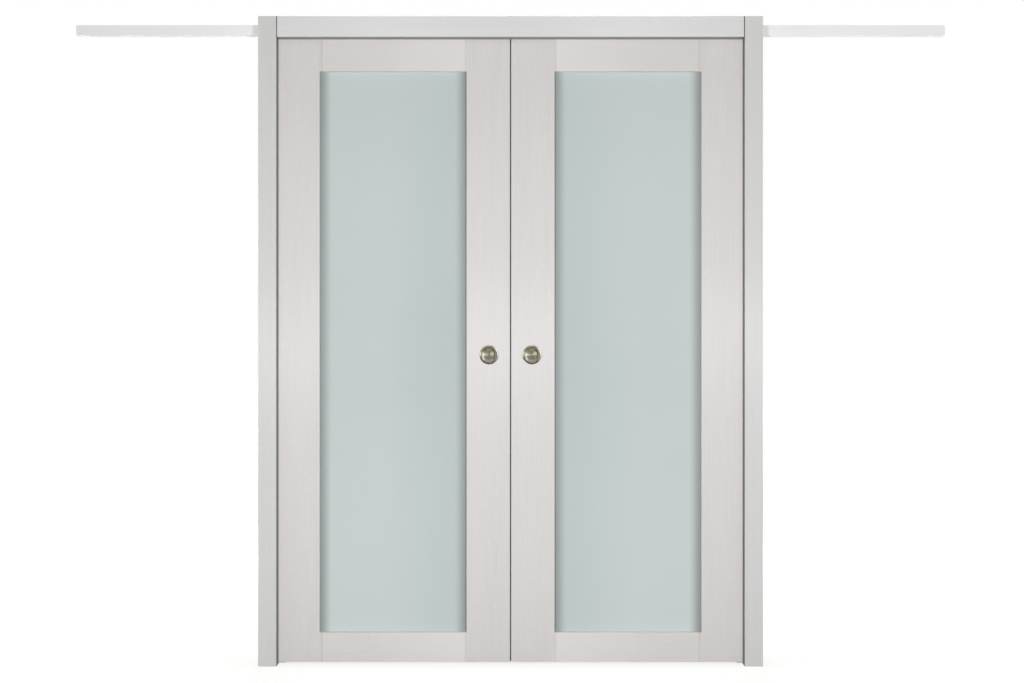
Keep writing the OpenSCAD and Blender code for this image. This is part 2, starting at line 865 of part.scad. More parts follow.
module upright_casing(side, face) {
    color(casing_finish) on_side(side) on_face(face) {
        translate([opening_half, -wall_half, 0]) linear_extrude(casing_top) casing_outline(casing_w);
        translate([jamb_mid - tongue_t / 2, -wall_half - fuse, 0])
            cube([tongue_t, tongue_l + fuse, rail_z1 - tongue_clear]);
    }
}

module head_casing(face) {
    half = opening_half - head_joint;
    color(casing_finish) on_face(face) translate([-half, -wall_half, head_z]) {
        intersection() {
            translate([0, 0, head_casing_h]) rotate([0, 90, 0])
                linear_extrude(2 * half) casing_outline(head_casing_h);
            linear_extrude(head_casing_h) casing_outline(2 * half);
        }
        translate([0, -fuse, jamb_t / 2 - tongue_t / 2]) cube([2 * half, tongue_l + fuse, tongue_t]);
    }
}

module frame_screws() {
    color(zinc) {
        at_header_screws() countersunk_screw($length, screw_r);
        in_quarters() at_bracket_screw() countersunk_screw(bracket_screw_l, small_screw_r);
        for (side = [-1, 1], x = rail_screw_xs)
            translate([side * x, 0, rail_z1 - rail_wall]) pan_screw(rail_screw_l, small_screw_r);
    }
}

// Floor guide

module floor_brackets() {
    color([0.90, 0.90, 0.89]) for (side = [-1, 1]) on_side(side) difference() {
        union() {
            mid_box(bracket_x0, opening_half + fuse, guide_foot_w, 0, bracket_t);
            mid_box(opening_half, bracket_x1, 2 * slot_half, 0, bracket_t);
            for (face = [-1, 1]) on_face(face)
                translate([ear_x0, -slot_half, 0]) cube([ear_x1 - ear_x0, bracket_t, ear_h]);
        }
        for (face = [-1, 1]) on_face(face) {
            at_bracket_screw() countersunk_hole(bracket_screw_l, small_screw_r);
            translate([anchor_x, anchor_pitch / 2, -over])
                cylinder(h = bracket_t + 2 * over, r = anchor_r);
        }
        for (x = peg_xs)
            translate([x, 0, -over]) cylinder(h = bracket_t + 2 * over, r = peg_r + joint_clear);
    }
}

module floor_guides() {
    foot_top = bracket_t + guide_foot_h;
    color([0.93, 0.93, 0.91]) for (side = [-1, 1]) on_side(side) {
        mid_box(guide_x0, guide_x1, guide_foot_w, bracket_t, foot_top);
        mid_box(guide_x0, guide_x1, fin_t, foot_top - fuse, leaf_z0 + fin_reach);
        for (x = peg_xs)
            translate([x, 0, peg_floor_gap]) cylinder(h = bracket_t, r = peg_r);
    }
}

// Surround nodes
for (side = [-1, 1]) {
    name = side < 0 ? "left" : "right";
    upright_casing(side, -1);
    upright_casing(side, 1);
    jamb(side, -1);
    jamb(side, 1);
}
head_casing(-1);  // front_casing_head
head_casing(1);  // back_casing_head
head_jamb(-1);  // head_jamb_front
head_jamb(1);  // head_jamb_back
header_board();
rail();
track_stops();
stop_buffers();
frame_screws();
frame_brush_seals();
floor_brackets();
floor_guides();

// Leaf nodes
for (side = [-1, 1]) on_side(side) {
    name = side < 0 ? "left_" : "right_";
    leading_stile();
    trailing_stile();
    top_rail();
    bottom_rail();
    meeting_seal();
    glass();
    glazing_gasket();
    dowels();
    pull(-1);
    pull(1);
    hanger_plates();
    plate_screws();
    carriages();
    axles();
    suspension_bolts();
    lock_nuts();
    for (i = [0 : 3])
        wheel_pair(i);
}
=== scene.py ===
"""Looks of a double pocket door: two framed frosted-glass leaves in a cased opening.

Metres, +Z up, front at -Y. Each piece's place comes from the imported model, so nothing is fitted
afterwards.
"""
import json
import math

import bmesh
import bpy
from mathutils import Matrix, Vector


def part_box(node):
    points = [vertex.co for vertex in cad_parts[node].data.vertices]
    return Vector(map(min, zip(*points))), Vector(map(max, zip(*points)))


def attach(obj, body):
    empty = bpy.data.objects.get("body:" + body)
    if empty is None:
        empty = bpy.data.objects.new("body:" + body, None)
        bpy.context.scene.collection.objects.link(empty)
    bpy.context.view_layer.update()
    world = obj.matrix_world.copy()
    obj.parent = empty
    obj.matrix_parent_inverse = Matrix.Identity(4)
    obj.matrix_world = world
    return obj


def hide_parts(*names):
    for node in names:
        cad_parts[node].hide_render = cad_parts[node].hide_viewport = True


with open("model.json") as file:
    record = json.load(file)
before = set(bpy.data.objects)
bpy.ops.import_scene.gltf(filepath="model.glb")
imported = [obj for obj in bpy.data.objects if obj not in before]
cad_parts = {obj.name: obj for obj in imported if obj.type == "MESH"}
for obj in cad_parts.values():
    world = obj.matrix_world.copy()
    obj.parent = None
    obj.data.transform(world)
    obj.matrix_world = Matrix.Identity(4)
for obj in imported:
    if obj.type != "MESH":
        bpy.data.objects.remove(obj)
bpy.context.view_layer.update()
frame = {"nodes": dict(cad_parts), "record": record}

MM = 0.001
SIDES = ("left", "right")
FACES = ("front", "back")
RING_POINTS = 48


# Helpers for meshes


def mesh_object(name, mesh):
    """An object at the origin that shows a mesh whose place is in its points."""
    made = bpy.data.objects.new(name, mesh)
    bpy.context.scene.collection.objects.link(made)
    return made


def finished_mesh(name, bm, sharp_angle):
    """Turns a bmesh into a mesh with outward faces that is smooth except at edges over sharp_angle."""
    same_point = 0.001 * MM
    bmesh.ops.remove_doubles(bm, verts=bm.verts, dist=same_point)
    bmesh.ops.recalc_face_normals(bm, faces=bm.faces)
    mesh = bpy.data.meshes.new(name)
    bm.to_mesh(mesh)
    bm.free()
    mesh.shade_smooth()
    mesh.set_sharp_from_angle(angle=math.radians(sharp_angle))
    return mesh


def skin_rings(bm, rings, closed_ends=True):
    """Joins rings of as many points each into a tube, and caps its two ends."""
    made = [[bm.verts.new(point) for point in ring] for ring in rings]
    count = len(rings[0])
    for low, high in zip(made, made[1:]):
        for i in range(count):
            j = (i + 1) % count
            bm.faces.new((low[i], low[j], high[j], high[i]))
    if closed_ends:
        bm.faces.new(made[0])
        bm.faces.new(made[-1])


def arc(centre, radius, start, end, steps):
    """Points of an arc in a section plane, from start to end degrees."""
    angles = [math.radians(start + (end - start) * i / steps) for i in range(steps + 1)]
    return [(centre[0] + radius * math.cos(a), centre[1] + radius * math.sin(a)) for a in angles]


def middle(node):
    """Centre of a CAD node's box."""
    low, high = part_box(node)
    return (low + high) / 2


def dress_piece(piece, body, slot, material, *nodes):
    """Gives a new piece its finish and its body, and lets it stand for its CAD nodes."""
    if not piece.data.materials:
        piece.data.materials.append(material)
    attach(piece, body)
    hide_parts(*nodes)


# Helpers for materials


def linear(hex_colour):
    """An sRGB hex colour as the linear RGBA that a socket takes."""
    channels = [int(hex_colour[i:i + 2], 16) / 255 for i in (1, 3, 5)]
    return [c / 12.92 if c <= 0.04045 else ((c + 0.055) / 1.055) ** 2.4 for c in channels] + [1.0]


def find(sockets, key):
    """A socket by its number, its identifier or its name."""
    if isinstance(key, int):
        return sockets[key]
    exact = [s for s in sockets if s.identifier == key]
    return exact[0] if exact else sockets[key]


def add(tree, kind, inputs=(), output=0, **settings):
    """Adds a node with its settings, values and links, and returns one of its outputs.

    The inputs are a list in the order of the sockets, or a dictionary by number or name. Each is a
    value, a hex colour, a socket to link from, or a tuple of several sockets.
    """
    node = tree.nodes.new(kind)
    for name, value in settings.items():
        setattr(node, name, value)
    rows = inputs.items() if isinstance(inputs, dict) else enumerate(inputs)
    for key, value in rows:
        target = find(node.inputs, key)
        given = value if isinstance(value, tuple) else [value]
        sources = [item for item in given if isinstance(item, bpy.types.NodeSocket)]
        for source in sources:
            tree.links.new(source, target)
        if not sources:
            target.default_value = linear(value) if isinstance(value, str) else value
    return find(node.outputs, output) if node.outputs else None


def new_material(name):
    """A material with an empty node tree."""
    made = bpy.data.materials.new(name)
    made.use_nodes = True
    made.node_tree.nodes.clear()
    return made


def finish_surface(material, height, depth, inputs):
    """Ends a material in a Principled surface, whose relief is depth metres where height is 1."""
    tree = material.node_tree
    relief = add(tree, "ShaderNodeBump", {"Height": height, "Strength": 1.0, "Distance": depth})
    shader = add(tree, "ShaderNodeBsdfPrincipled", {**inputs, "Normal": relief})
    add(tree, "ShaderNodeOutputMaterial", {"Surface": shader})
    return material


def marks(tree, sizes, detail=2.0, spread=(0.3, 0.7)):
    """Noise whose marks have these sizes in metres along X, Y and Z, spread over 0 to 1."""
    coords = add(tree, "ShaderNodeTexCoord", output="Object")
    per_metre = [1 / size for size in sizes]
    scaled = add(tree, "ShaderNodeVectorMath", [coords, per_metre], operation="MULTIPLY")
    noise = add(tree, "ShaderNodeTexNoise", {"Vector": scaled, "Scale": 1.0, "Detail": detail})
    return add(tree, "ShaderNodeMapRange", [noise, *spread, 0.0, 1.0])


def paint(tree, ground, coats):
    """Lays coats of [share, tone] over a ground tone. A share of 1 hides what is under it."""
    for share, tone in coats:
        inputs = {"Factor_Float": share, "A_Color": ground, "B_Color": tone}
        ground = add(tree, "ShaderNodeMix", inputs, output="Result_Color", data_type="RGBA")
    return ground


# Finishes of the leaves and the surround


def ash_foil(name, way, tones, gloss, bands, painted_light_fade=None):
    """Finish foil pressed with an ash grain that runs along way, on board.

    The eye sees an even matt off-white with faint streaks and a few short pale flecks along the
    grain. The grain's fine furrows draw each light out into a soft sheen across it. A band is painted
    shade along an edge, and a fade is painted light, a slow change to a paler tone, both as
    [axis, start, end, colour].
    """
    tone, streak_tone, fleck_tone = tones
    board_share = 0.45
    streak_share = 0.55
    fleck_share = 0.45
    most_painted_light = 0.7
    furrow = 0.02 * MM
    made = new_material(name)
    tree = made.node_tree

    def grain(across, along, detail, spread):
        """Marks of one size along the grain and another across it."""
        sizes = (across, across, along) if way == "Z" else (along, across, across)
        return marks(tree, sizes, detail, spread)

    def off_centre(axis):
        """Distance from the door's middle on X, or height above the floor on Z."""
        coords = add(tree, "ShaderNodeTexCoord", output="Object")
        on_axis = add(tree, "ShaderNodeSeparateXYZ", [coords], output=axis)
        return add(tree, "ShaderNodeMath", [on_axis], operation="ABSOLUTE")

    boards = grain(46 * MM, 900 * MM, 2.0, (0.3, 0.7))
    # Real streaks are under 1 mm wide. These are 4 mm, so that one shows at all in the whole view.
    streaks = grain(4 * MM, 210 * MM, 3.0, (0.35, 0.65))
    # A fleck is a pore filled with lighter lacquer. It is drawn twice as wide as it is.
    flecks = grain(2.4 * MM, 34 * MM, 1.0, (0.66, 0.74))
    pores = grain(0.9 * MM, 22 * MM, 2.0, (0.42, 0.62))
    board_coat = add(tree, "ShaderNodeMath", [boards, board_share], operation="MULTIPLY")
    streak_coat = add(tree, "ShaderNodeMath", [streaks, streak_share], operation="MULTIPLY")
    fleck_coat = add(tree, "ShaderNodeMath", [flecks, fleck_share], operation="MULTIPLY")
    shade = add(tree, "ShaderNodeMath", [board_coat, streak_coat], operation="ADD")
    coats = [(shade, tone)]
    # Painted light: the fade makes the foil paler towards the door's middle.
    if painted_light_fade:
        axis, start, end, painted_light_tone = painted_light_fade
        painted_light_share = add(tree, "ShaderNodeMapRange", [off_centre(axis), start, end, 0.0, most_painted_light])
        coats.append((painted_light_share, painted_light_tone))
    coats.append((fleck_coat, fleck_tone))
    # Painted shade: each band darkens the foil along an edge.
    for axis, start, end, shade_band_tone in bands:
        place = off_centre(axis)
        past_start = add(tree, "ShaderNodeMath", [place, start], operation="GREATER_THAN")
        before_end = add(tree, "ShaderNodeMath", [place, end], operation="LESS_THAN")
        inside = add(tree, "ShaderNodeMath", [past_start, before_end], operation="MULTIPLY")
        coats.append((inside, shade_band_tone))
    height = add(tree, "ShaderNodeMath", [pores, streaks], operation="ADD")
    return finish_surface(made, height, furrow, {
        "Base Color": paint(tree, streak_tone, coats),
        "Roughness": add(tree, "ShaderNodeMapRange", [pores, 0.0, 1.0, 0.4, 0.36]),
        "Specular IOR Level": gloss,
        "Anisotropic": 0.97,
        "Tangent": add(tree, "ShaderNodeTangent", direction_type="RADIAL", axis=way),
    })


def etched_glass(pane):
    """Toughened glass, acid-etched to a milky sea green.

    The eye sees an even, soft, matt sheet that light comes through and no image does. Its colour
    is darkened along the stiles, as painted shade of the stiles. The sheet is a shade greener and
    darker towards the meeting stiles, where the darkening is painted shade, and paler towards its top
    and bottom, which is painted light.
    """
    made = new_material("etched_milky_glass")
    tree = made.node_tree
    low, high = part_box(pane)
    bite = 10 * MM
    painted_shade_width = 41 * MM
    even_reach = 0.1
    end_reach = 0.9
    turnover = 0.2
    mid = abs(low.x + high.x) / 2
    half = (high.x - low.x) / 2 - bite
    green_end = 0.1 * half
    coords = add(tree, "ShaderNodeTexCoord", output="Object")
    split = add(tree, "ShaderNodeSeparateXYZ", [coords]).node.outputs
    across = add(tree, "ShaderNodeMath", [split["X"]], operation="ABSOLUTE")
    off_middle = add(tree, "ShaderNodeMath", [across, mid], operation="SUBTRACT")
    off_centre = add(tree, "ShaderNodeMath", [off_middle], operation="ABSOLUTE")
    from_stile = add(tree, "ShaderNodeMath", [half, off_centre], operation="SUBTRACT")
    height = add(tree, "ShaderNodeMath", [split["Z"], (low.z + high.z) / 2], operation="SUBTRACT")
    off_level = add(tree, "ShaderNodeMath", [height], operation="ABSOLUTE")
    ends = add(tree, "ShaderNodeMapRange", [off_level, even_reach, end_reach, 0.0, 1.0])
    upper = add(tree, "ShaderNodeMapRange", [height, -turnover, turnover, 0.0, 1.0])
    outer = add(tree, "ShaderNodeMapRange", [off_middle, -half, green_end, 0.0, 1.0])
    # Painted shade: the colour darkens to #959b9a over this width next to each stile.
    clear_of_painted_shade = add(tree, "ShaderNodeMapRange", [from_stile, 0.0, painted_shade_width, 0.0, 1.0],
              interpolation_type="SMOOTHSTEP")
    cloud = marks(tree, (260 * MM, 40 * MM, 420 * MM), 2.0)
    # The etch's grit is about 0.1 mm. It is drawn at 1 mm, where a close view can show it.
    grit = marks(tree, (1 * MM, 1 * MM, 1 * MM), 1.0)
    # Painted light: the sheet is paler towards its top and bottom.
    painted_end_tone = paint(tree, "#d0d9d8", [(upper, "#ccd5d4")])
    # Painted shade: the sheet is darker, and greener, towards the meeting stile.
    green = paint(tree, "#b8c4c3", [(ends, "#c3cfce")])
    milky = paint(tree, "#c1cbca", [(cloud, "#c5cecd"), (ends, painted_end_tone)])
    sheet = paint(tree, green, [(outer, milky)])
    return finish_surface(made, grit, 0.004 * MM, {
        "Base Color": paint(tree, "#959b9a", [(clear_of_painted_shade, sheet)]),
        "Roughness": add(tree, "ShaderNodeMapRange", [grit, 0.0, 1.0, 0.62, 0.7]),
        "IOR": 1.52,
        "Transmission Weight": 0.06,
    })


def clear_rubber():
    """Glazing rubber, extruded. The eye sees a thin pale line, a little translucent."""
    made = new_material("pale_glazing_rubber")
    tree = made.node_tree
    cloud = marks(tree, (6 * MM, 6 * MM, 6 * MM), 2.0)
    return finish_surface(made, cloud, 0.02 * MM, {
        "Base Color": paint(tree, "#c3c9c8", [(cloud, "#cdd2d1")]),
        "Roughness": 0.5,
        "Subsurface Weight": 0.2,
        "Subsurface Scale": 2 * MM,
    })


def planed_timber(name, early_wood, late_wood, ring):
    """Planed, unfinished softwood that lies along X.

    The eye sees warm bands of early and late wood, with fine pores and no gloss.
    """
    made = new_material(name)
    tree = made.node_tree
    pore_share = 0.25
    coords = add(tree, "ShaderNodeTexCoord", output="Object")
    # The rings are drawn out along the board, so that they show as long slow bands.
    drawn_out = (0.03, 1.0, 0.7)
    along_board = add(tree, "ShaderNodeVectorMath", [coords, drawn_out], operation="MULTIPLY")
    # The wave repeats every 0.314 over its scale, and one repeat is an early and a late band.
    scale = 1 / (6.3 * ring)
    rings = add(tree, "ShaderNodeTexWave", {
        "Vector": along_board, "Scale": scale, "Distortion": 5.0, "Detail": 3.0,
        "Detail Scale": 1.2,
    }, output="Fac", wave_type="RINGS", rings_direction="X")
    pores = marks(tree, (18 * MM, 0.6 * MM, 0.6 * MM), 2.0, (0.45, 0.7))
    pore_coat = add(tree, "ShaderNodeMath", [pores, pore_share], operation="MULTIPLY")
    return finish_surface(made, pores, 0.05 * MM, {
        "Base Color": paint(tree, early_wood, [(rings, late_wood), (pore_coat, late_wood)]),
        "Roughness": add(tree, "ShaderNodeMapRange", [pores, 0.0, 1.0, 0.62, 0.75]),
    })


# Finishes of the metal


def bearing(tree, place, clock, low, high):
    """1 round the hour that a clock hand points to from a pull's axis, and 0 well away from it.

    low and high are cosines of the angle from the hand, at the patch's edge and at its heart.
    """
    turn = math.radians(90 - 30 * clock)
    hand = (math.cos(turn), 0.0, math.sin(turn))
    away = add(tree, "ShaderNodeVectorMath", [place], operation="NORMALIZE")
    cosine = add(tree, "ShaderNodeVectorMath", [away, hand], output="Value", operation="DOT_PRODUCT")
    return add(tree, "ShaderNodeMapRange", [cosine, low, high, 0.0, 1.0])


def pull_place(tree, centre):
    """Place on a pull as [across, 0, up] from its axis, with across to the right of who faces it."""
    coords = add(tree, "ShaderNodeTexCoord", output="Object")
    split = add(tree, "ShaderNodeSeparateXYZ", [coords]).node.outputs
    leaf_side = add(tree, "ShaderNodeMath", [split["X"]], operation="SIGN")
    door_face = add(tree, "ShaderNodeMath", [split["Y"]], operation="SIGN")
    axis = add(tree, "ShaderNodeMath", [leaf_side, abs(centre.x)], operation="MULTIPLY")
    off_axis = add(tree, "ShaderNodeMath", [split["X"], axis], operation="SUBTRACT")
    rightwards = add(tree, "ShaderNodeMath", [door_face, -1.0], operation="MULTIPLY")
    across = add(tree, "ShaderNodeMath", [off_axis, rightwards], operation="MULTIPLY")
    up = add(tree, "ShaderNodeMath", [split["Z"], centre.z], operation="SUBTRACT")
    return add(tree, "ShaderNodeCombineXYZ", {"X": across, "Z": up})


# Painted shade and painted highlights on a pull, placed by clock hour.
# Columns: zone, hour on a clock face, cosines at its edge and heart, strength.
PAINTED_SHADE_PATCHES = (
    ("wall", 0.2, 0.1, 0.7, 0.25), ("foot", 2.6, 0.3, 0.8, 1.0), ("foot", 6.2, 0.4, 0.85, 0.4),
    ("foot", 7.7, 0.8, 0.97, 0.7), ("foot", 10.4, 0.85, 0.97, 0.6), ("rim", 7.2, 0.3, 0.85, 1.0),
    ("rim", 5.6, 0.6, 0.9, 0.8), ("rim", 3.7, 0.94, 0.98, 0.6), ("floor", 4.9, -0.1, 0.7, 0.5),
    ("floor", 12.0, 0.3, 0.9, 0.45), ("floor", 7.7, 0.75, 0.97, 0.7), ("floor", 10.2, 0.8, 0.97, 0.45),
)
PAINTED_HIGHLIGHT_PATCHES = (
    ("wall", 8.6, 0.65, 0.95, 1.0), ("wall", 6.5, 0.4, 0.8, 0.4), ("wall", 3.0, 0.7, 0.97, 0.25),
    ("floor", 2.2, 0.85, 0.98, 0.15), ("floor", 9.2, 0.85, 0.98, 0.15), ("rim", 2.8, 0.5, 0.9, 0.65),
    ("rim", 9.0, 0.93, 0.99, 1.0),
)


def pull_zones(tree, radius):
    """Floor, wall, foot of the wall and rim of a pull, each 1 inside and 0 outside."""
    floor = add(tree, "ShaderNodeMapRange", [radius, 15.5 * MM, 17 * MM, 1.0, 0.0])
    wall_start = add(tree, "ShaderNodeMapRange", [radius, 16 * MM, 18.5 * MM, 0.0, 1.0])
    wall_end = add(tree, "ShaderNodeMapRange", [radius, 24.5 * MM, 26 * MM, 1.0, 0.0])
    foot_start = add(tree, "ShaderNodeMapRange", [radius, 15.5 * MM, 17 * MM, 0.0, 1.0])
    foot_end = add(tree, "ShaderNodeMapRange", [radius, 19.5 * MM, 21.5 * MM, 1.0, 0.0])
    rim = add(tree, "ShaderNodeMapRange", [radius, 25.5 * MM, 27.5 * MM, 0.0, 1.0])
    wall = add(tree, "ShaderNodeMath", [wall_start, wall_end], operation="MULTIPLY")
    foot = add(tree, "ShaderNodeMath", [foot_start, foot_end], operation="MULTIPLY")
    return {"floor": floor, "wall": wall, "foot": foot, "rim": rim}


def patches(tree, place, zones, rows):
    """The strongest of some patches at each place."""
    whole = 0.0
    for zone, clock, edge, heart, strength in rows:
        near = bearing(tree, place, clock, edge, heart)
        patch = add(tree, "ShaderNodeMath", [zones[zone], near], operation="MULTIPLY")
        weighed = add(tree, "ShaderNodeMath", [patch, strength], operation="MULTIPLY")
        whole = add(tree, "ShaderNodeMath", [whole, weighed], operation="MAXIMUM")
    return whole


def spun_nickel(pull):
    """Nickel plate on brass, turned on a lathe and satin-finished, under a warm aged lacquer.

    The eye sees olive-grey metal whose fine rings gather each light into a bow tie across the dish.
    Painted shade darkens the lacquer at the foot of the wall, on the lower half of the rim and in
    patches across the floor. Painted highlights lighten the wall at the left and below, and the rim
    at both sides, for who faces the pull.
    """
    made = new_material("spun_satin_nickel")
    tree = made.node_tree
    place = pull_place(tree, middle(pull))
    radius = add(tree, "ShaderNodeVectorMath", [place], output="Value", operation="LENGTH")
    zones = pull_zones(tree, radius)
    # Painted shade and painted highlights, placed by clock hour round the pull's axis.
    pull_painted_shade = patches(tree, place, zones, PAINTED_SHADE_PATCHES)
    pull_painted_highlight = patches(tree, place, zones, PAINTED_HIGHLIGHT_PATCHES)
    # Lathe lines are 0.1 mm apart. They are drawn at 0.6 mm, so that a close view shows them.
    line_gap = 0.6 * MM
    lines_out = add(tree, "ShaderNodeMath", [radius, line_gap], operation="DIVIDE")
    rings = add(tree, "ShaderNodeTexNoise", {"W": lines_out, "Scale": 1.0, "Detail": 2.0},
                noise_dimensions="1D")
    smudges = marks(tree, (9 * MM, 9 * MM, 9 * MM), 2.0)
    coats = [(smudges, "#93907d"), (pull_painted_highlight, "#d6d3c8"), (pull_painted_shade, "#3d3b32")]
    return finish_surface(made, rings, 0.012 * MM, {
        "Base Color": paint(tree, "#83806f", coats),
        "Metallic": 1.0,
        "Roughness": add(tree, "ShaderNodeMapRange", [rings, 0.3, 0.7, 0.38, 0.46]),
        "Anisotropic": 0.85,
        "Anisotropic Rotation": 0.25,
        "Tangent": add(tree, "ShaderNodeTangent", direction_type="RADIAL", axis="Y"),
    })


def zinc_plate():
    """Bright zinc on steel. The eye sees cool grey metal with a faint cloudy spangle."""
    made = new_material("bright_zinc_plate")
    tree = made.node_tree
    spangle_share = 0.3
    spangle = marks(tree, (4 * MM, 4 * MM, 4 * MM), 3.0)
    tint = marks(tree, (22 * MM, 22 * MM, 22 * MM), 1.0)
    spangle_coat = add(tree, "ShaderNodeMath", [spangle, spangle_share], operation="MULTIPLY")
    return finish_surface(made, spangle, 0.01 * MM, {
        "Base Color": paint(tree, "#b9bdc1", [(tint, "#c3c2b8"), (spangle_coat, "#9a9ea3")]),
        "Metallic": 1.0,
        "Roughness": add(tree, "ShaderNodeMapRange", [spangle, 0.0, 1.0, 0.3, 0.42]),
    })


def powder_coat(name, tone, deep_tone):
    """Powder coat, baked on metal. The eye sees an even satin skin with a slight orange peel."""
    made = new_material(name)
    tree = made.node_tree
    peel = marks(tree, (1.6 * MM, 1.6 * MM, 1.6 * MM), 2.0)
    cloud = marks(tree, (300 * MM, 60 * MM, 60 * MM), 1.0)
    return finish_surface(made, peel, 0.03 * MM, {
        "Base Color": paint(tree, deep_tone, [(cloud, tone)]),
        "Roughness": add(tree, "ShaderNodeMapRange", [peel, 0.0, 1.0, 0.4, 0.5]),
    })


# Finishes of rubber, pile and plastic


def moulded_plastic(name, tone, deep_tone, roughness, subsurface):
    """Nylon or acetal, injection-moulded. The eye sees a waxy skin with the tool's fine matt grain."""
    made = new_material(name)
    tree = made.node_tree
    roughest = roughness + 0.1
    grain = marks(tree, (0.5 * MM, 0.5 * MM, 0.5 * MM), 1.0)
    flow = marks(tree, (14 * MM, 6 * MM, 6 * MM), 2.0)
    return finish_surface(made, grain, 0.01 * MM, {
        "Base Color": paint(tree, deep_tone, [(flow, tone)]),
        "Roughness": add(tree, "ShaderNodeMapRange", [grain, 0.0, 1.0, roughness, roughest]),
        "Subsurface Weight": subsurface,
        "Subsurface Scale": 3 * MM,
    })


def black_rubber():
    """Moulded rubber. The eye sees a dull black with a dusty bloom."""
    made = new_material("moulded_black_rubber")
    tree = made.node_tree
    bloom = marks(tree, (5 * MM, 5 * MM, 5 * MM), 3.0)
    return finish_surface(made, bloom, 0.02 * MM, {
        "Base Color": paint(tree, "#1b1b1b", [(bloom, "#2a2a29")]),
        "Roughness": add(tree, "ShaderNodeMapRange", [bloom, 0.0, 1.0, 0.6, 0.75]),
    })


def pile_fibre():
    """Woven polypropylene pile. The eye sees dark grey fibres, each a little lighter or darker."""
    made = new_material("grey_pile_fibre")
    tree = made.node_tree
    strands = marks(tree, (1.2 * MM, 1.2 * MM, 1.2 * MM), 1.0)
    return finish_surface(made, strands, 0.05 * MM, {
        "Base Color": paint(tree, "#1a1918", [(strands, "#2a2927")]),
        "Roughness": 0.8,
        "Sheen Weight": 0.15,
        "Sheen Roughness": 0.5,
    })


# Pulls


def pull_profile():
    """Section of a pull as [radius, height above the leaf's face], from its axis to its back."""
    mouth = 25 * MM
    rim_top = 1.8 * MM
    dish = 8.5 * MM
    outer = 31 * MM
    cup = 26 * MM
    back = 10 * MM
    lip = 0.5 * MM
    floor = mouth - dish
    half_rim = (outer - mouth) / 2
    rim_radius = (half_rim ** 2 + rim_top ** 2) / (2 * rim_top)
    swing = math.degrees(math.asin(half_rim / rim_radius))
    wall_turn = 84
    wall = arc((floor, 0), dish, -90, -90 + wall_turn, 22)
    rim = arc((mouth + half_rim, rim_top - rim_radius), rim_radius, 90 + swing * 0.8, 90 - swing, 18)
    flat = [(0.0, -dish), (floor * 0.5, -dish)]
    hidden = [(outer - lip, 0.0), (cup, 0.0), (cup, -back), (0.0, -back)]
    return flat + wall + rim + hidden


def lathe(name, profile, centre, outward, segments):
    """Spins a section round an axis through centre that points outward along Y."""
    bm = bmesh.new()
    rings = []
    turns = [2 * math.pi * i / segments for i in range(segments)]
    for radius, height in profile:
        y = centre.y + outward * height
        across = [centre.x + radius * math.cos(turn) for turn in turns]
        up = [centre.z + radius * math.sin(turn) for turn in turns]
        rings.append([(x, y, z) for x, z in zip(across, up)])
    skin_rings(bm, rings, closed_ends=False)
    return mesh_object(name, finished_mesh(name, bm, sharp_angle=35))


def make_pulls(nickel):
    """Lathed pulls in both faces of both leaves, in place of the plain ones."""
    for side in SIDES:
        leaf_low, leaf_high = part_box(f"{side}_trailing_stile")
        for face in FACES:
            node = f"{side}_{face}_pull"
            outward = -1 if face == "front" else 1
            centre = middle(node)
            centre.y = leaf_low.y if face == "front" else leaf_high.y
            piece = lathe(f"{side}_{face}_spun_pull", pull_profile(), centre, outward, segments=128)
            dress_piece(piece, f"{side}_leaf", "satin_nickel", nickel, node)


# Bolts and nuts


def hexagon_ring(centre, flats, from_end, z):
    """Ring of a hexagon whose corners are turned off at 30 degrees towards its end face."""
    face_share = 0.95
    face_radius = face_share * flats / 2
    cone = face_radius + from_end / math.tan(math.radians(30))
    points = []
    for i in range(RING_POINTS):
        turn = 2 * math.pi * i / RING_POINTS
        off_flat = turn % math.radians(60) - math.radians(30)
        radius = min(flats / 2 / math.cos(off_flat), cone)
        points.append((centre.x + radius * math.cos(turn), centre.y + radius * math.sin(turn), z))
    return points


def circle_ring(centre, radius, z):
    """Ring of a round hole or rod."""
    turns = [2 * math.pi * i / RING_POINTS for i in range(RING_POINTS)]
    return [(centre.x + radius * math.cos(t), centre.y + radius * math.sin(t), z) for t in turns]


def hexagon_rings(centre, flats, low, high):
    """Rings of a hexagon prism that is turned off at both ends."""
    bevel_step = 0.2 * MM
    bevel = [step * bevel_step for step in range(5)]
    bottom = [hexagon_ring(centre, flats, b, low + b) for b in bevel]
    top = [hexagon_ring(centre, flats, b, high - b) for b in reversed(bevel)]
    return bottom + top


def thread_rings(centre, radius, low, high):
    """Rings of a coarse metric thread, with its tip turned off."""
    pitch = 1.25 * MM
    depth = 0.61 * MM
    tip_cut = 0.8 * MM
    rings_a_turn = 8
    steps = round((high - low) / pitch * rings_a_turn)
    rings = []
    for k in range(steps + 1):
        z = low + (high - low) * k / steps
        crest = min(radius, radius - tip_cut + (z - low))
        ring = []
        for i in range(RING_POINTS):
            turn = 2 * math.pi * i / RING_POINTS
            phase = (z / pitch - i / RING_POINTS) % 1.0
            cut = depth * (1 - abs(2 * phase - 1))
            out = min(crest, radius - cut)
            ring.append((centre.x + out * math.cos(turn), centre.y + out * math.sin(turn), z))
        rings.append(ring)
    return rings


def hexagon_places(node):
    """Width across the flats of a node's two hexagons, and their two axes."""
    low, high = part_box(node)
    flats = high.y - low.y
    corner = flats / 2 / math.cos(math.radians(30))
    return flats, [Vector((x, (low.y + high.y) / 2)) for x in (low.x + corner, high.x - corner)]


